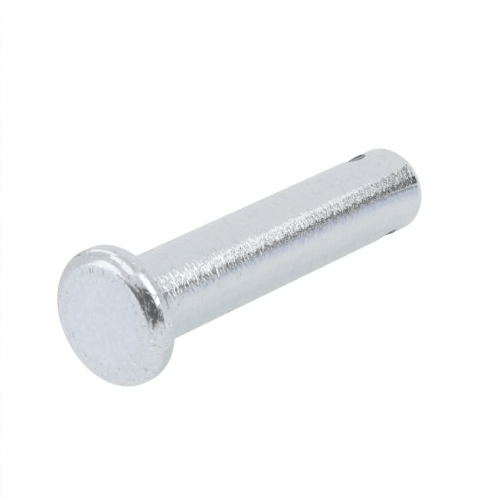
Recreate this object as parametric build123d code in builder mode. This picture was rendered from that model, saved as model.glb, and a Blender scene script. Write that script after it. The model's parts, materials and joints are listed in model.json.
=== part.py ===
"""Headed clevis pin with a cross hole for a split cotter, one solid of zinc-plated steel.

The pin stands on the flat end of its shank with its head on top. The origin is the centre of that
end face, +Z runs up the pin's axis to the head, and the cross hole runs along X. Millimetres.
"""

import os

from build123d import *

# ---- driving dimensions ----
SHANK_DIAMETER = 14.0
GRIP_LENGTH = 65.0  # from the flat under the head to the end face
HEAD_DIAMETER = 22.0
HEAD_THICKNESS = 4.5  # at the rim of the head's crown
CROWN_HEIGHT = 0.15  # the upset face is left very slightly domed
HEAD_SHOULDER_WIDTH = 2.3  # soft outer edge of the head, measured across the head
HEAD_SHOULDER_DEPTH = 2.1  # and along the pin
HEAD_BACK_RADIUS = 1.2  # round on the clevis side of the head's rim
NECK_FILLET = 0.6  # under the head, where it runs into the shank
POINT_LENGTH = 1.1  # bevel that leads the pin into its holes
POINT_DEPTH = 0.6
POINT_BLEND = 0.4  # softens both edges of the bevel
COTTER_HOLE_DIAMETER = 4.0
COTTER_HOLE_TO_END = 7.0  # hole centre to end face
HOLE_EDGE_BREAK = 0.3  # deburred mouths

# ---- derived places ----
shank_radius = SHANK_DIAMETER / 2
head_radius = HEAD_DIAMETER / 2
crown_rim_z = GRIP_LENGTH + HEAD_THICKNESS
crown_rim_radius = head_radius - HEAD_SHOULDER_WIDTH
shoulder_z = crown_rim_z - HEAD_SHOULDER_DEPTH

# Corners of the lengthwise section, as (radius, height).
end_centre = (0, 0)
end_rim = (shank_radius - POINT_DEPTH, 0)
point_top = (shank_radius, POINT_LENGTH)
neck = (shank_radius, GRIP_LENGTH)
head_back = (head_radius, GRIP_LENGTH)
shoulder_foot = (head_radius, shoulder_z)
crown_rim = (crown_rim_radius, crown_rim_z)
crown_top = (0, crown_rim_z + CROWN_HEIGHT)


def corner_at(sketch, corner):
    """Vertex of a sketch, in its own flat coordinates, at a (radius, height) corner."""
    return sketch.vertices().sort_by_distance((corner[0], corner[1], 0))[0]


with BuildPart() as clevis_pin:
    with BuildSketch(Plane.XZ) as half_section:
        with BuildLine():
            Polyline(end_centre, end_rim, point_top, neck, head_back, shoulder_foot)
            EllipticalCenterArc(
                (crown_rim_radius, shoulder_z),
                HEAD_SHOULDER_WIDTH,
                HEAD_SHOULDER_DEPTH,
                start_angle=0,
                arc_size=90,
            )
            TangentArc(crown_top, crown_rim, tangent=(1, 0))
            Line(crown_top, end_centre)
        make_face()
        fillet(corner_at(half_section, head_back), HEAD_BACK_RADIUS)
        fillet(corner_at(half_section, neck), NECK_FILLET)
        fillet(corner_at(half_section, end_rim), POINT_BLEND)
        fillet(corner_at(half_section, point_top), POINT_BLEND)
    revolve(axis=Axis.Z)

    # Cross hole for the cotter, right through the shank along X.
    with Locations(Plane.YZ.offset(shank_radius).location * Pos(0, COTTER_HOLE_TO_END, 0)):
        Hole(radius=COTTER_HOLE_DIAMETER / 2, depth=SHANK_DIAMETER)
    hole_mouths = (
        clevis_pin.edges()
        .filter_by(lambda edge: abs(edge.center().Z - COTTER_HOLE_TO_END) < HOLE_EDGE_BREAK)
        .filter_by(lambda edge: edge.geom_type not in (GeomType.CIRCLE, GeomType.LINE))
    )
    fillet(hole_mouths, HOLE_EDGE_BREAK)

clevis_pin.part.label = "clevis_pin"

os.makedirs("parts", exist_ok=True)
export_step(clevis_pin.part, "parts/clevis_pin.step")

print(f"clevis_pin volume {clevis_pin.part.volume:.1f} mm3, box {clevis_pin.part.bounding_box()}")
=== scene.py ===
# %% [markdown]
# # A headed clevis pin in bright zinc plate
#
# A clevis pin is a short steel rod with a flat head. It joins the two ears of a clevis to the
# part between them, and a split cotter through its cross hole keeps it there. This one is forged
# and turned from one piece of steel, barrel plated with zinc, and stands here on its flat end.
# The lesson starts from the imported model, which fixes every size, and then sets the camera, turns
# a finer skin for the pin, and gives it its plated finish.

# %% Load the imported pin
import json
import math
import bmesh
import bpy
from mathutils import Matrix, Vector


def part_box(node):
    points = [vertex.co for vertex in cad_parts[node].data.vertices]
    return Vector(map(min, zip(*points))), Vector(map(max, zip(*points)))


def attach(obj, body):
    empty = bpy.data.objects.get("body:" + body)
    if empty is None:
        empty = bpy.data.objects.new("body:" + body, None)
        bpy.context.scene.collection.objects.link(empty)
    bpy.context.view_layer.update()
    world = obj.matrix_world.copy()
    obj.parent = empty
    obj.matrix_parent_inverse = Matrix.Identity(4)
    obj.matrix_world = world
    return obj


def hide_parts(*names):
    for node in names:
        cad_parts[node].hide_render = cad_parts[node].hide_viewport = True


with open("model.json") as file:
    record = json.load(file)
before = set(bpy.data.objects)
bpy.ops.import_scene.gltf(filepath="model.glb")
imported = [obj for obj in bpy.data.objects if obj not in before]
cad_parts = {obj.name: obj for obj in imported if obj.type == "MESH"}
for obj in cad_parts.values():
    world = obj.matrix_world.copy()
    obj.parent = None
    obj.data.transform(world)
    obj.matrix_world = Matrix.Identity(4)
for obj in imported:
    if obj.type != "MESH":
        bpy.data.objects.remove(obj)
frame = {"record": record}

MM = 0.001
UP = Vector((0.0, 0.0, 1.0))
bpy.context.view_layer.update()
pin_low, pin_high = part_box("clevis_pin")
mounts = {mount["name"]: mount for mount in frame["record"]["mounts"]}
print("the packed pin reaches from", pin_low, "to", pin_high)

# %% [markdown]
# ## The camera
#
# The pin is seen from above its head, with a long lens, so that its far end looks hardly smaller
# than it is. A camera can be placed by typing a rotation, but it is easier to think as the person
# behind it does: a point to aim at, a direction to stand in, and a tilt of the camera about its
# own line of sight. Here the tilt is large, so the standing pin lies across the picture.

# %% Place the camera
AIM_POINT = Vector((0.0, 0.0072, 0.0288))
CAMERA_DISTANCE = 0.470
CAMERA_AZIMUTH = math.radians(3.46)
CAMERA_ELEVATION = math.radians(43.78)
CAMERA_ROLL = math.radians(-115.04)
LENS_MM = 209.6
SENSOR_WIDTH_MM = 36.0
NEAREST_SEEN = 0.01

camera_turn = (
    Matrix.Rotation(CAMERA_AZIMUTH, 4, "Z")
    @ Matrix.Rotation(math.pi / 2 - CAMERA_ELEVATION, 4, "X")
    @ Matrix.Rotation(CAMERA_ROLL, 4, "Z")
)
sight_line = camera_turn @ UP
bpy.ops.object.camera_add(location=AIM_POINT + sight_line * CAMERA_DISTANCE)
camera = bpy.context.object
camera.name = "studio_camera"
camera.rotation_euler = camera_turn.to_euler()
camera.data.lens = LENS_MM
camera.data.sensor_width = SENSOR_WIDTH_MM
camera.data.clip_start = NEAREST_SEEN
bpy.context.scene.camera = camera
bpy.context.scene.view_settings.view_transform = "Standard"
print("camera at", tuple(round(value, 4) for value in camera.location))

# %% [markdown]
# ## Sizes of the pin
#
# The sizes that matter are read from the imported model: its box gives the head's diameter and the
# pin's length, and its mounts give the shank, the seat under the head and the cross hole. The
# small rounds are a maker's habits. Cold heading leaves the head's outer corner soft, the clevis
# side of the head is rounded less, and the point is chamfered so that it finds its hole.

# %% Name the sizes
shank_radius = mounts["shank"]["dims"]["r_mm"] * MM
hole_radius = mounts["cotter_hole"]["dims"]["r_mm"] * MM
hole_height = mounts["cotter_hole"]["pos_m"][2]
seat_height = mounts["head_seat"]["pos_m"][2]
head_radius = (pin_high[0] - pin_low[0]) / 2
head_top = pin_high[2]

CROWN_HEIGHT = 0.15 * MM
SHOULDER_WIDTH = 2.3 * MM
SHOULDER_DEPTH = 2.1 * MM
HEAD_BACK_RADIUS = 1.2 * MM
NECK_FILLET = 0.6 * MM
POINT_LENGTH = 1.1 * MM
POINT_DEPTH = 0.6 * MM
crown_rim_height = head_top - CROWN_HEIGHT
print("shank radius", shank_radius, "head radius", head_radius, "hole radius", hole_radius)

# %% [markdown]
# ## The outline that is turned
#
# A lathe sweeps one outline about an axis, and Blender's spin does the same. The outline is a
# chain of points from the centre of the end face, up the shank, round the head and in to the
# centre of its crown. The points stand close together, so the skin has small, even faces that
# later take a dent or a hole without a crease.

# %% Draw the outline
RING_SPACING = 0.42 * MM
END_FACE_SPACING = 0.8 * MM
END_FACE_MARGIN = 0.3 * MM  # plain width left for the soft corner at its rim
HEAD_SIDE_SPACING = 0.3 * MM
CROWN_SPACING = 0.35 * MM
END_RIM_REACH = 0.22 * MM
POINT_TOP_REACH = 0.25 * MM
NECK_STEPS = 6
HEAD_BACK_STEPS = 9
SHOULDER_STEPS = 16


def straight(start, end, spacing=RING_SPACING):
    """Points evenly spaced from just after start to end."""
    run = Vector(end) - Vector(start)
    count = max(1, round(run.length / spacing))
    return [Vector(start) + run * (step / count) for step in range(1, count + 1)]


def round_corner(centre, radius_out, radius_up, first_angle, last_angle, count):
    """Points along a quarter of an ellipse, from just after first_angle to last_angle."""
    points = []
    for step in range(1, count + 1):
        angle = math.radians(first_angle + (last_angle - first_angle) * step / count)
        out, rise = radius_out * math.cos(angle), radius_up * math.sin(angle)
        points.append(Vector((centre[0] + out, centre[1] + rise)))
    return points


def soft_corner(before, corner, after, reach, count=4):
    """Points that ease the turn at a corner, reaching this far along both of its sides."""
    before, corner, after = Vector(before), Vector(corner), Vector(after)
    start = corner + (before - corner).normalized() * reach
    end = corner + (after - corner).normalized() * reach
    points = []
    for step in range(count + 1):
        part = step / count
        points.append(start * (1 - part) ** 2 + corner * 2 * part * (1 - part) + end * part**2)
    return points


end_rim = (shank_radius - POINT_DEPTH, 0.0)
point_top = (shank_radius, POINT_LENGTH)
neck_foot = (shank_radius, seat_height - NECK_FILLET)
shoulder_centre = (head_radius - SHOULDER_WIDTH, crown_rim_height - SHOULDER_DEPTH)
neck_centre = (shank_radius + NECK_FILLET, seat_height - NECK_FILLET)
back_centre = (head_radius - HEAD_BACK_RADIUS, seat_height + HEAD_BACK_RADIUS)

outline = [Vector((0.0, 0.0))]
outline += straight((0.0, 0.0), (end_rim[0] - END_FACE_MARGIN, 0.0), END_FACE_SPACING)
outline += soft_corner((0.0, 0.0), end_rim, point_top, END_RIM_REACH)
outline += soft_corner(end_rim, point_top, neck_foot, POINT_TOP_REACH)
outline += straight(outline[-1], neck_foot)
outline += round_corner(neck_centre, NECK_FILLET, NECK_FILLET, 180, 90, NECK_STEPS)
outline += straight(outline[-1], (back_centre[0], seat_height))
outline += round_corner(back_centre, HEAD_BACK_RADIUS, HEAD_BACK_RADIUS, -90, 0, HEAD_BACK_STEPS)
outline += straight(outline[-1], (head_radius, shoulder_centre[1]), HEAD_SIDE_SPACING)
outline += round_corner(shoulder_centre, SHOULDER_WIDTH, SHOULDER_DEPTH, 0, 90, SHOULDER_STEPS)
crown_points = straight(outline[-1], (0.0, crown_rim_height), CROWN_SPACING)
crown_rim_radius = outline[-1][0]
for point in crown_points:
    point[1] += CROWN_HEIGHT * (1 - (point[0] / crown_rim_radius) ** 2)
outline += crown_points
print("outline points:", len(outline))

# %% [markdown]
# ## Turning the skin
#
# A plane collapsed to one vertex starts the chain, each extrude adds the next point, and spin
# turns the chain through a full circle. Spin leaves a double seam and a heap of vertices on the
# axis. Merging by distance closes both, and then the normals are made to point outwards.

# %% Helpers for turned shapes
MERGE_DISTANCE = 0.0015 * MM  # far shorter than any edge of the skin


def select_only(obj):
    """Make one object the only selected and the active one."""
    bpy.ops.object.select_all(action="DESELECT")
    obj.select_set(True)
    bpy.context.view_layer.objects.active = obj


def start_point(name, place):
    """A new object in edit mode that is one selected vertex at this place."""
    bpy.ops.object.select_all(action="DESELECT")
    bpy.ops.mesh.primitive_plane_add(size=2 * MM)
    obj = bpy.context.object
    obj.name = name
    bpy.ops.object.mode_set(mode="EDIT")
    bpy.ops.mesh.select_mode(type="VERT")
    bpy.ops.mesh.select_all(action="SELECT")
    bpy.ops.mesh.merge(type="CENTER")
    bpy.ops.transform.translate(value=place)
    return obj


def turn_outline(name, points, steps):
    """Spin a chain of (radius, height) points about Z into one closed mesh."""
    obj = start_point(name, (points[0][0], 0.0, points[0][1]))
    for here, there in zip(points, points[1:]):
        bpy.ops.mesh.extrude_vertices_move(
            TRANSFORM_OT_translate={"value": (there[0] - here[0], 0.0, there[1] - here[1])}
        )
    bpy.ops.mesh.select_all(action="SELECT")
    bpy.ops.mesh.spin(steps=steps, angle=2 * math.pi, center=(0, 0, 0), axis=(0, 0, 1))
    bpy.ops.mesh.select_all(action="SELECT")
    bpy.ops.mesh.remove_doubles(threshold=MERGE_DISTANCE)
    bpy.ops.mesh.normals_make_consistent(inside=False)
    bpy.ops.object.mode_set(mode="OBJECT")
    return obj


# %% Turn the pin
TURN_STEPS = 256
pin = turn_outline("zinc_plated_pin", outline, TURN_STEPS)
print("turned faces:", len(pin.data.polygons))

# %% [markdown]
# ## Dings in the head
#
# Pins are plated in a tumbling barrel and knock against each other, so the head's face is a
# little uneven and carries small dings, most of them near its rim. Proportional editing presses
# them in: one vertex is pushed, and its neighbours follow it less and less with distance.

# %% Press the dings
# Each ding: angle about the axis in degrees, distance from it, reach and depth in millimetres.
FACE_DINGS = [
    (18, 8.1, 0.9, 0.030), (43, 8.0, 0.8, 0.030), (57, 8.3, 0.6, 0.030), (112, 8.2, 0.7, 0.030),
    (147, 8.3, 0.9, 0.030), (171, 8.0, 0.7, 0.030), (196, 7.6, 0.8, 0.035), (214, 8.2, 1.0, 0.035),
    (233, 7.8, 0.8, 0.035), (251, 8.2, 0.7, 0.030), (268, 7.3, 0.9, 0.030), (286, 8.1, 0.8, 0.030),
    (301, 7.0, 0.7, 0.030), (25, 5.1, 1.6, 0.025), (140, 4.2, 1.8, 0.025), (205, 6.3, 1.4, 0.025),
    (262, 5.4, 1.7, 0.025), (318, 6.0, 1.3, 0.025), (90, 2.1, 1.9, 0.020), (300, 2.6, 1.8, 0.020),
    # A row of nicks left by the heading tool.
    (-2, 8.5, 0.5, 0.040), (-6, 8.2, 0.5, 0.045), (-10, 8.1, 0.5, 0.045), (-20, 7.5, 0.5, 0.045),
    (-25, 7.5, 0.5, 0.050), (-31, 7.4, 0.5, 0.040),
]
# Each ding: angle in degrees, height below the top of the head, reach and depth in millimetres.
RIM_DINGS = [
    (7, 0.85, 0.5, 0.060), (2, 0.95, 0.5, 0.075), (-3, 1.0, 0.5, 0.060), (-8, 1.05, 0.5, 0.060),
    (64, 1.6, 0.8, 0.050), (120, 1.9, 0.9, 0.050), (188, 2.6, 0.8, 0.045), (205, 1.2, 0.7, 0.040),
    (222, 3.0, 0.9, 0.045), (340, 2.8, 0.8, 0.040),
]


def level_direction(angle):
    """Level direction at this angle in degrees about the axis, from +X towards +Y."""
    return Vector((math.cos(math.radians(angle)), math.sin(math.radians(angle)), 0.0))


def press_ding(obj, place, push, reach):
    """Push the vertex nearest to a place, with its neighbours within reach."""
    mesh = bmesh.from_edit_mesh(obj.data)
    for vertex in mesh.verts:
        vertex.select = False
    nearest = min(mesh.verts, key=lambda vertex: (vertex.co - place).length_squared)
    nearest.select = True
    mesh.select_flush_mode()
    bmesh.update_edit_mesh(obj.data)
    bpy.ops.transform.translate(
        value=push,
        use_proportional_edit=True,
        proportional_edit_falloff="SMOOTH",
        proportional_size=reach,
        use_proportional_connected=False,
    )


select_only(pin)
bpy.ops.object.mode_set(mode="EDIT")
for angle, distance, reach, depth in FACE_DINGS:
    outward = level_direction(angle)
    place = outward * distance * MM + UP * head_top
    press_ding(pin, place, -UP * depth * MM, reach * MM)
for angle, below, reach, depth in RIM_DINGS:
    outward = level_direction(angle)
    place = outward * head_radius + UP * (head_top - below * MM)
    press_ding(pin, place, -outward * depth * MM, reach * MM)
bpy.ops.object.mode_set(mode="OBJECT")
print("dings pressed:", len(FACE_DINGS) + len(RIM_DINGS))

# %% [markdown]
# ## The cross hole
#
# The hole is drilled right through and its mouths are deburred, so they widen in a soft curve as
# they reach the shank's surface. A boolean does what the drill does. Its cutter is turned like the
# pin itself, from an outline whose two ends open out like a trumpet, and is then laid along X at
# the height of the hole's mount.

# %% Drill the cotter hole
DRILL_SIDES = 96
SMOOTH_BELOW = math.radians(35)
MOUTH_FOOT = 5.98 * MM  # distance from the pin's axis at which a mouth starts to widen
# Radius of the mouth and distance from the pin's axis, in millimetres, from the outside inwards.
MOUTH_CURVE = [
    (3.10, 7.60), (2.70, 7.12), (2.56, 6.95), (2.42, 6.66), (2.28, 6.38), (2.10, 6.15),
]
mouth = [Vector((radius * MM, distance * MM)) for radius, distance in MOUTH_CURVE]
mouth.append(Vector((hole_radius, MOUTH_FOOT)))
drill_outline = [Vector((0.0, mouth[0][1]))] + mouth
drill_outline += [Vector((point[0], -point[1])) for point in reversed(mouth)]
drill_outline.append(Vector((0.0, -mouth[0][1])))

# Half a step of turn keeps the cutter's corners off the pin's own edges, so the cut is clean.
drill = turn_outline("drill", drill_outline, DRILL_SIDES)
drill.rotation_euler = (0.0, 0.0, math.pi / DRILL_SIDES)
bpy.ops.object.transform_apply(location=False, rotation=True, scale=False)
drill.rotation_euler = (0.0, math.pi / 2, 0.0)
drill.location = (0.0, 0.0, hole_height)
bpy.ops.object.transform_apply(location=True, rotation=True, scale=True)

select_only(pin)
cut = pin.modifiers.new("cotter_hole", "BOOLEAN")
cut.operation = "DIFFERENCE"
cut.solver = "EXACT"
cut.object = drill
bpy.ops.object.modifier_apply(modifier=cut.name)
bpy.data.objects.remove(drill, do_unlink=True)
bpy.ops.object.shade_smooth_by_angle(angle=SMOOTH_BELOW)
print("faces after drilling:", len(pin.data.polygons))

# %% [markdown]
# ## Bright zinc plate
#
# Zinc plate is a thin bright layer with a cool, slightly blue tone. It follows every mark of the
# steel beneath. The shank was drawn and rolled, which leaves very fine strokes across it, and the
# struck face of the head is matt and mottled. Strokes and grain are too small to model, so they
# are bump, and all the patterns read Object coordinates, so they stay put on the metal.

# %% Node helpers


def make_material(name):
    """A node material with a Principled shader, and its node tree's parts."""
    material = bpy.data.materials.new(name)
    material.use_nodes = True
    nodes = material.node_tree.nodes
    return material, nodes, material.node_tree.links, nodes["Principled BSDF"]


def noise(nodes, links, source, size, stretch=(1.0, 1.0, 1.0), detail=2.0, roughness=0.55):
    """Noise whose features are about this size in metres, stretched by these factors."""
    mapping = nodes.new("ShaderNodeMapping")
    mapping.inputs["Scale"].default_value = [1.0 / (size * factor) for factor in stretch]
    texture = nodes.new("ShaderNodeTexNoise")
    texture.inputs["Scale"].default_value = 1.0
    texture.inputs["Detail"].default_value = detail
    texture.inputs["Roughness"].default_value = roughness
    links.new(source, mapping.inputs["Vector"])
    links.new(mapping.outputs["Vector"], texture.inputs["Vector"])
    return texture.outputs["Fac"]


def ramp(nodes, links, source, stops):
    """A colour ramp through (position, colour) stops."""
    node = nodes.new("ShaderNodeValToRGB")
    elements = node.color_ramp.elements
    while len(elements) < len(stops):
        elements.new(0.5)
    for element, (position, colour) in zip(elements, stops):
        element.position = position
        element.color = (*colour, 1.0)
    links.new(source, node.inputs["Fac"])
    return node.outputs["Color"]


def grey(value):
    """A colour without a hue."""
    return (value, value, value)


def bump(nodes, links, height, distance, normal=None):
    """Bump whose full height is this distance, on top of an earlier bump."""
    node = nodes.new("ShaderNodeBump")
    node.inputs["Distance"].default_value = distance
    node.inputs["Strength"].default_value = 1.0
    links.new(height, node.inputs["Height"])
    if normal is not None:
        links.new(normal, node.inputs["Normal"])
    return node.outputs["Normal"]


def math_node(nodes, links, operation, *values):
    """One Math node, fed with numbers or with sockets."""
    node = nodes.new("ShaderNodeMath")
    node.operation = operation
    for socket, value in zip(node.inputs, values):
        if isinstance(value, (int, float)):
            socket.default_value = value
        else:
            links.new(value, socket)
    return node.outputs["Value"]


# %% Helpers for the plate
zinc, nodes, links, shader = make_material("zinc_plate")


def product(*factors):
    """All of these factors multiplied together."""
    result = factors[0]
    for factor in factors[1:]:
        result = math_node(nodes, links, "MULTIPLY", result, factor)
    return result


def distance_from(first, second):
    """Distance from the line on which both of these coordinates are 0."""
    squares = [math_node(nodes, links, "POWER", value, 2.0) for value in (first, second)]
    return math_node(nodes, links, "SQRT", math_node(nodes, links, "ADD", *squares))


def fade(source, start, end):
    """0 before start, 1 after end, smooth between; the ends may be given either way round."""
    node = nodes.new("ShaderNodeMapRange")
    node.interpolation_type = "SMOOTHSTEP"
    node.inputs["From Min"].default_value = start
    node.inputs["From Max"].default_value = end
    links.new(source, node.inputs["Value"])
    return node.outputs["Result"]


def tint(colour, other, amount):
    """The first colour, with this amount of the other mixed in."""
    node = nodes.new("ShaderNodeMix")
    node.data_type = "RGBA"
    links.new(colour, node.inputs["A"])
    node.inputs["B"].default_value = (*other, 1.0)
    links.new(amount, node.inputs["Factor"])
    return node.outputs["Result"]


# %% [markdown]
# ### Parts of the surface
#
# Each mask is 1 on one part of the pin and 0 elsewhere, with a smooth fade between. The pairs of
# numbers say where a fade begins and where it is complete: a distance from the pin's axis, or for
# the hole from its middle line, a height, or an angle about the axis in radians from +X.

# %% Mark the parts of the surface
SEAT_FADE = (seat_height - 0.4 * MM, seat_height + 0.2 * MM)
RIM_FADE = (8.0 * MM, 9.4 * MM)
FACE_EDGE_FADE = (4.5 * MM, 8.0 * MM)
FACE_GRAIN_END = (9.6 * MM, 8.8 * MM)
FACE_MIDDLE_END = (8.1 * MM, 6.3 * MM)
MATT_END = (9.2 * MM, 7.8 * MM)
MATT_FOOT = (head_top - 1.0 * MM, head_top - 0.4 * MM)
HOLE_WALL_FADE = (2.56 * MM, 2.40 * MM)
LIP_OUTSIDE = (2.98 * MM, 2.76 * MM)
LIP_INSIDE = (2.36 * MM, 2.52 * MM)

where = nodes.new("ShaderNodeTexCoord").outputs["Object"]
split = nodes.new("ShaderNodeSeparateXYZ")
links.new(where, split.inputs["Vector"])
along = split.outputs["Z"]
above_hole = math_node(nodes, links, "SUBTRACT", along, hole_height)
around = math_node(nodes, links, "ARCTAN2", split.outputs["Y"], split.outputs["X"])
from_axis = distance_from(split.outputs["X"], split.outputs["Y"])
from_hole = distance_from(split.outputs["Y"], above_hole)

on_head = fade(along, *SEAT_FADE)
on_shank = fade(along, *reversed(SEAT_FADE))
on_rim = product(on_head, fade(from_axis, *RIM_FADE))
face_edge = product(on_head, fade(from_axis, *FACE_EDGE_FADE))
face_grain = product(face_edge, fade(from_axis, *FACE_GRAIN_END))
face_middle = product(on_head, fade(from_axis, *FACE_MIDDLE_END))
matt_face = product(on_head, fade(from_axis, *MATT_END), fade(along, *MATT_FOOT))
in_hole = fade(from_hole, *HOLE_WALL_FADE)
# The thin ring at each mouth's lip, which carries a painted shadow.
lip_shadow_ring = product(fade(from_hole, *LIP_OUTSIDE), fade(from_hole, *LIP_INSIDE))

# Strokes run round the pin: they change slowly about the axis and fast along it or across it.
across = nodes.new("ShaderNodeCombineXYZ")
links.new(split.outputs["X"], across.inputs["X"])
links.new(split.outputs["Y"], across.inputs["Y"])
links.new(math_node(nodes, links, "SUBTRACT", along, from_axis), across.inputs["Z"])
stroke_space = across.outputs["Vector"]

# %% [markdown]
# ### Colour of the plate
#
# The plate is cool and clean, and a little bluer on the struck face. The drilled hole is painted a
# duller grey as painted shade in the bore, and a dark ring at each mouth's lip is a painted shadow.
# Thin layers of noise are laid over each other, each on its own part of the pin. Last come the
# marks
# of the heading tool: short radial ticks on the +X side of the face, and a dull rub on the shoulder
# beside them.

# %% Colour the plate
PLATE_COLOURS = [
    (0.30, (0.78, 0.82, 0.82)), (0.45, (0.80, 0.82, 0.85)),
    (0.58, (0.82, 0.83, 0.84)), (0.72, (0.79, 0.80, 0.84)),
]
CLOUD_SIZE = 4.0 * MM
FACE_BLUE, FACE_BLUE_SHARE = (0.855, 0.895, 0.96), 0.6
# Painted shade for the bore of the cotter hole.
HOLE_PAINTED_SHADE = (0.50, 0.51, 0.53)
# Painted shadow for the thin ring at each mouth's lip.
LIP_PAINTED_SHADOW, LIP_PAINTED_SHADOW_SHARE = (0.10, 0.11, 0.12), 0.9
TICK_GREY, TICK_GREY_SHARE = (0.36, 0.38, 0.40), 0.75
RUB_GREY, RUB_GREY_SHARE = (0.30, 0.30, 0.29), 0.8
# Each layer: colour, size in millimetres, detail and roughness of its noise, the two values of
# noise between which it fades in, where it lies, and how much of it there is.
COLOUR_LAYERS = [
    ((0.70, 0.73, 0.77), 1.10, 4.0, 0.70, (0.40, 0.60), on_head, 0.38),  # mottle of the head
    ((0.70, 0.73, 0.75), 1.50, 4.0, 0.70, (0.52, 0.66), on_shank, 0.50),  # smears
    ((0.56, 0.57, 0.56), 1.00, 4.0, 0.75, (0.66, 0.74), on_shank, 0.60),  # stains
    ((0.55, 0.58, 0.60), 0.80, 3.0, 0.60, (0.58, 0.68), face_edge, 0.75),  # dark flecks
    ((0.94, 0.95, 0.96), 0.65, 3.0, 0.60, (0.42, 0.33), face_edge, 0.70),  # light flecks
]
TICKS_PER_RADIAN = 17.0
TICKS_SHOWN = (0.53, 0.60)
TICK_INSIDE, TICK_OUTSIDE = (7.5 * MM, 7.8 * MM), (8.6 * MM, 8.3 * MM)
TICK_START, TICK_END = (-0.62, -0.52), (0.05, -0.02)
RUB_SIZE = 0.45 * MM
RUB_STRETCH = (3.5, 3.5, 1.0)
RUB_SHOWN = (0.50, 0.62)
RUB_FOOT = (head_top - 2.3 * MM, head_top - 1.7 * MM)
RUB_TOP = (head_top - 0.7 * MM, head_top - 1.0 * MM)
RUB_START, RUB_END = (-0.18, -0.08), (0.24, 0.12)

tone = ramp(nodes, links, noise(nodes, links, where, CLOUD_SIZE, detail=5.0), PLATE_COLOURS)
tone = tint(tone, FACE_BLUE, product(face_middle, FACE_BLUE_SHARE))
for colour, size, detail, roughness, shown, part, amount in COLOUR_LAYERS:
    pattern = noise(nodes, links, where, size * MM, detail=detail, roughness=roughness)
    tone = tint(tone, colour, product(fade(pattern, *shown), product(part, amount)))
# Painted shade: the bore of the hole is greyed.
tone = tint(tone, HOLE_PAINTED_SHADE, in_hole)
# Painted shadow: a dark ring at the lip of each mouth.
tone = tint(tone, LIP_PAINTED_SHADOW, product(lip_shadow_ring, LIP_PAINTED_SHADOW_SHARE))

spokes = nodes.new("ShaderNodeTexNoise")
spokes.noise_dimensions = "1D"
spokes.inputs["Scale"].default_value = TICKS_PER_RADIAN
spokes.inputs["Detail"].default_value = 1.0
links.new(around, spokes.inputs["W"])
ticks = product(
    fade(spokes.outputs["Fac"], *TICKS_SHOWN), fade(from_axis, *TICK_INSIDE),
    fade(from_axis, *TICK_OUTSIDE), on_head, fade(around, *TICK_START), fade(around, *TICK_END),
)
tone = tint(tone, TICK_GREY, product(ticks, TICK_GREY_SHARE))

rub_marks = noise(nodes, links, stroke_space, RUB_SIZE, stretch=RUB_STRETCH)
rub = product(
    fade(rub_marks, *RUB_SHOWN), fade(along, *RUB_FOOT), fade(along, *RUB_TOP),
    fade(around, *RUB_START), fade(around, *RUB_END),
)
tone = tint(tone, RUB_GREY, product(rub, RUB_GREY_SHARE))
links.new(tone, shader.inputs["Base Color"])
shader.inputs["Metallic"].default_value = 1.0

# %% [markdown]
# ### Shine and relief
#
# The shank and the rim shine, and the struck face and the hole are matt. Strokes make the shank's
# reflections fray, and a few raised specks roughen one side of the shoulder.

# %% Shine of the plate
BLOTCH_SIZE = 1.6 * MM
PLATE_ROUGHNESS = [(0.30, grey(0.09)), (0.70, grey(0.15))]
RIM_ROUGHNESS = grey(0.16)
MATT_ROUGHNESS = grey(0.36)

blotches = noise(nodes, links, where, BLOTCH_SIZE, detail=5.0)
matt = math_node(nodes, links, "MAXIMUM", matt_face, in_hole)
plate_roughness = ramp(nodes, links, blotches, PLATE_ROUGHNESS)
plate_roughness = tint(plate_roughness, RIM_ROUGHNESS, on_rim)
plate_roughness = tint(plate_roughness, MATT_ROUGHNESS, matt)
links.new(plate_roughness, shader.inputs["Roughness"])

# %% Relief of the plate
STROKE_SIZE, STROKE_STRETCH, STROKE_HEIGHT = 0.58 * MM, (3.2, 3.2, 1.0), 0.16 * MM
SPECK_SIZE, SPECK_STRETCH, SPECK_HEIGHT = 0.42 * MM, (1.8, 1.8, 1.0), 0.032 * MM
SPECK_FOOT = (head_top - 2.8 * MM, head_top - 2.0 * MM)
SPECK_START, SPECK_END = (-2.25, -1.95), (-0.9, -1.2)
SPECKS_SHOWN = (0.54, 0.72)
PIT_SIZE, FACE_PIT_HEIGHT, SHANK_PIT_HEIGHT = 0.55 * MM, 0.026 * MM, 0.008 * MM
WAVE_SIZE, SHANK_WAVE_HEIGHT, HEAD_WAVE_HEIGHT = 2.6 * MM, 0.03 * MM, 0.006 * MM

strokes = noise(nodes, links, stroke_space, STROKE_SIZE, stretch=STROKE_STRETCH, roughness=0.5)
speck_noise = noise(nodes, links, stroke_space, SPECK_SIZE, stretch=SPECK_STRETCH, roughness=0.5)
specks = product(
    fade(speck_noise, *SPECKS_SHOWN), on_rim, fade(along, *SPECK_FOOT),
    fade(around, *SPECK_START), fade(around, *SPECK_END),
)
pits = noise(nodes, links, where, PIT_SIZE, roughness=0.5)
waves = noise(nodes, links, where, WAVE_SIZE)
skin = None
for height, distance in (
    (product(strokes, on_shank), STROKE_HEIGHT),
    (specks, SPECK_HEIGHT),
    (product(pits, face_grain), FACE_PIT_HEIGHT),
    (product(pits, on_shank), SHANK_PIT_HEIGHT),
    (product(waves, on_shank), SHANK_WAVE_HEIGHT),
    (product(waves, on_head), HEAD_WAVE_HEIGHT),
):
    skin = bump(nodes, links, height, distance, normal=skin)
links.new(skin, shader.inputs["Normal"])

# %% Put the plate on the pin
pin.data.materials.clear()
pin.data.materials.append(zinc)
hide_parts("clevis_pin")
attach(pin, "root")

# %% [markdown]
# ## Floor, cards and light
#
# Bright metal shows its surroundings more than itself, so a product studio is white all round and
# then gets a few cards. The pin is seen from above, and its near side mirrors the floor in front
# of it. Dark cards lie there one beyond another, with pale gaps between them, and the strokes in
# the plate break their edges up into streaks along the shank. Cards hung round the head, light
# and dark, shape its rim. All cards glow evenly, and only glossy rays see them, so they stay out
# of the picture.

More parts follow.
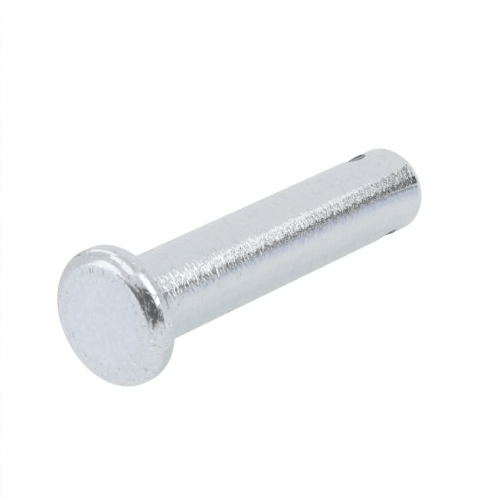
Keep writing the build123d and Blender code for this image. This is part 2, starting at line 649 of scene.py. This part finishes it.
# %% Floor
FLOOR_SIZE = 4.0
FLOOR_DROP = 0.05 * MM
FLOOR_COLOUR = (0.86, 0.87, 0.88)
FLOOR_ROUGHNESS = 0.9
FLOOR_IN_METAL = (0.79, 0.80, 0.81)  # how bright the paper looks when it is mirrored
FLOOR_WHITE_SHARE = 0.97  # of what the camera sees; the rest lets the pin's shadow show
PAPER_WHITE = (1.0, 1.0, 1.0)
bpy.ops.object.select_all(action="DESELECT")
bpy.ops.mesh.primitive_plane_add(size=FLOOR_SIZE, location=(0.0, 0.0, -FLOOR_DROP))
floor = bpy.context.object
floor.name = "studio_floor"

floor_paint, nodes, links, shader = make_material("studio_floor_paint")
shader.inputs["Base Color"].default_value = (*FLOOR_COLOUR, 1.0)
shader.inputs["Roughness"].default_value = FLOOR_ROUGHNESS
shader.inputs["Specular IOR Level"].default_value = 0.0
rays = nodes.new("ShaderNodeLightPath")
surface = shader.outputs["BSDF"]
for ray, colour, share in (
    ("Is Camera Ray", PAPER_WHITE, FLOOR_WHITE_SHARE),
    ("Is Glossy Ray", FLOOR_IN_METAL, 1.0),
    ("Is Transmission Ray", PAPER_WHITE, 1.0),
):
    glow = nodes.new("ShaderNodeEmission")
    glow.inputs["Color"].default_value = (*colour, 1.0)
    mix = nodes.new("ShaderNodeMixShader")
    links.new(math_node(nodes, links, "MULTIPLY", rays.outputs[ray], share), mix.inputs["Fac"])
    links.new(surface, mix.inputs[1])
    links.new(glow.outputs["Emission"], mix.inputs[2])
    surface = mix.outputs["Shader"]
links.new(surface, nodes["Material Output"].inputs["Surface"])
floor.data.materials.append(floor_paint)

# %% Helpers for cards
# Seen from above, spin about +Z turns clockwise, and so do the bearings below.
CARD_STEP_DEGREES = 3.0
CARD_LIFT = 0.02 * MM  # each floor card lies this much higher than the one before
CARD_DISTANCE = 0.80
CARD_GAP = 2 * MM  # each hung card is this much further off than the one before
NEAR_FLOOR = 75.0  # millimetres from the axis; the shank mirrors no further than this
RING_EDGES = (7.5, 9.5, 12.5, 18.0, 28.0, 46.0, 75.0)  # millimetres from the axis
cards = []


def start_edge(name, first, second):
    """A new object in edit mode that is one edge between two points."""
    obj = start_point(name, first)
    bpy.ops.mesh.extrude_vertices_move(TRANSFORM_OT_translate={"value": second - first})
    bpy.ops.mesh.select_all(action="SELECT")
    return obj


def spin_card(degrees, centre, axis):
    """Spin the edge that was started into a card."""
    steps = max(2, round(degrees / CARD_STEP_DEGREES))
    bpy.ops.mesh.spin(steps=steps, angle=math.radians(degrees), center=centre, axis=axis)


def finish_card(card, colour):
    """Give a card its even glow and hide it from all but glossy rays."""
    bpy.ops.object.mode_set(mode="OBJECT")
    paint = bpy.data.materials.new(card.name + "_paint")
    paint.use_nodes = True
    tree = paint.node_tree
    tree.nodes.remove(tree.nodes["Principled BSDF"])
    emission = tree.nodes.new("ShaderNodeEmission")
    emission.inputs["Color"].default_value = (*colour, 1.0)
    tree.links.new(emission.outputs["Emission"], tree.nodes["Material Output"].inputs["Surface"])
    card.data.materials.append(paint)
    card.visible_camera = False
    card.visible_diffuse = False
    card.visible_shadow = False
    card.visible_transmission = False
    cards.append(card)


def bearing(angle):
    """Level direction at an angle in degrees from the near side (-Y), turning towards -X."""
    return Matrix.Rotation(-math.radians(angle), 3, "Z") @ Vector((0.0, -1.0, 0.0))


def lay_card(near, far, first_angle, last_angle, colour):
    """A card on the floor between two distances in millimetres and two bearings in degrees.

    Later cards lie on earlier ones.
    """
    number = len(cards) + 1
    lift = UP * CARD_LIFT * number
    start = bearing(first_angle)
    card = start_edge(f"floor_card_{number}", start * near * MM + lift, start * far * MM + lift)
    spin_card(last_angle - first_angle, (0, 0, 0), UP)
    finish_card(card, colour)


def lay_rings(first_angle, last_angle, dark_near, dark_far, colour):
    """A dark card in each ring: this share of the ring is dark near the pin and far from it."""
    for near, far in zip(RING_EDGES, RING_EDGES[1:]):
        share = dark_near + (dark_far - dark_near) * near / NEAR_FLOOR
        lay_card(far - (far - near) * share, far, first_angle, last_angle, colour)


def hang_card(middle_angle, left, right, low, high, colour):
    """A card bent over the head from a low to a high elevation; all angles are in degrees.

    Left and right say how far it reaches to either side of its middle bearing.
    """
    number = len(cards) + 1
    reach = CARD_DISTANCE + CARD_GAP * number
    centre = UP * head_top
    outward = bearing(middle_angle)
    sideways = outward.cross(UP)
    left_edge = -sideways * reach * math.tan(math.radians(left))
    right_edge = sideways * reach * math.tan(math.radians(right))
    tilt = Matrix.Rotation(math.radians(low), 3, sideways)
    foot = centre + (tilt @ outward) * reach
    card = start_edge(f"hung_card_{number}", foot + left_edge, foot + right_edge)
    spin_card(high - low, centre, -sideways)
    finish_card(card, colour)


# %% Lay and hang the cards
DARK = grey(0.13)
WHITE = grey(1.20)

# Near floor, seen in the shank.
lay_card(8, 110, 60, 84, (0.74, 0.76, 0.77))
lay_card(8, 110, 84, 170, (0.67, 0.70, 0.71))
lay_card(8, 20, -28, -3, grey(1.00))
lay_card(20, 46, -32, -3, grey(1.15))
lay_card(46, NEAR_FLOOR, -30, -3, grey(1.30))
lay_card(8, NEAR_FLOOR, -3, 8, grey(0.88))
lay_rings(-27, -3, 0.58, 0.08, grey(0.08))
lay_rings(-4, 8, 0.84, 0.64, grey(0.08))
lay_card(8, NEAR_FLOOR, 8, 10, (0.80, 0.81, 0.85))
lay_card(8, NEAR_FLOOR, 10, 15, (0.36, 0.37, 0.43))
lay_card(8, NEAR_FLOOR, 15, 25, (0.62, 0.65, 0.72))
lay_card(8, NEAR_FLOOR, 25, 33, (0.72, 0.75, 0.81))
# Far floor, seen in the rim of the head.
lay_card(115, 1200, -180, -42, grey(0.68))
lay_card(86, 94, -50, 10, grey(0.30))
lay_card(94, 1200, -42, 10, grey(1.40))
lay_card(140, 1200, 10, 32, DARK)
lay_card(150, 1200, -130, -85, grey(1.05))
# Round and above the head.
hang_card(9, 22, 22, 5, 13, grey(0.25))
hang_card(9, 27, 22, 13, 52, DARK)
hang_card(9, 21, 22, 52, 80, DARK)
hang_card(9, 8, 13, 80, 112, DARK)
hang_card(9, 4, 8, 112, 126, grey(0.20))
hang_card(21, 11, 11, 0, 10, DARK)
hang_card(-17, 26, 26, 0, 5, WHITE)
hang_card(-31, 13, 17, 5, 12, WHITE)
hang_card(-64, 12, 12, 8, 48, grey(1.10))
hang_card(-80, 14, 14, 0, 28, grey(1.10))
hang_card(-146, 20, 20, 44, 65, grey(1.15))
print("cards:", len(cards))

# %% World
# The camera sees a white backdrop. Metal mirrors a pale tent, a little darker on the +X side.
PLAIN_LIGHT_COLOUR = (0.93, 0.96, 1.0)
PLAIN_LIGHT_STRENGTH = 0.9
TENT_COLOURS = [
    (0.35, (0.80, 0.82, 0.84)), (0.50, (0.79, 0.83, 0.88)), (0.65, (0.70, 0.71, 0.72)),
]

world = bpy.data.worlds.new("white_tent")
bpy.context.scene.world = world
world.use_nodes = True
nodes, links = world.node_tree.nodes, world.node_tree.links
plain_light = nodes["Background"]
plain_light.inputs["Color"].default_value = (*PLAIN_LIGHT_COLOUR, 1.0)
plain_light.inputs["Strength"].default_value = PLAIN_LIGHT_STRENGTH

sky = nodes.new("ShaderNodeSeparateXYZ")
links.new(nodes.new("ShaderNodeTexCoord").outputs["Generated"], sky.inputs["Vector"])
side = math_node(nodes, links, "MULTIPLY_ADD", sky.outputs["X"], 0.5, 0.5)
mirrored = nodes.new("ShaderNodeBackground")
mirrored.inputs["Strength"].default_value = 1.0
links.new(ramp(nodes, links, side, TENT_COLOURS), mirrored.inputs["Color"])

backdrop = nodes.new("ShaderNodeBackground")
backdrop.inputs["Color"].default_value = (*PAPER_WHITE, 1.0)

rays = nodes.new("ShaderNodeLightPath")
sky_light = plain_light.outputs["Background"]
for ray, seen in (("Is Glossy Ray", mirrored), ("Is Camera Ray", backdrop)):
    mix = nodes.new("ShaderNodeMixShader")
    links.new(rays.outputs[ray], mix.inputs["Fac"])
    links.new(sky_light, mix.inputs[1])
    links.new(seen.outputs["Background"], mix.inputs[2])
    sky_light = mix.outputs["Shader"]
links.new(sky_light, nodes["World Output"].inputs["Surface"])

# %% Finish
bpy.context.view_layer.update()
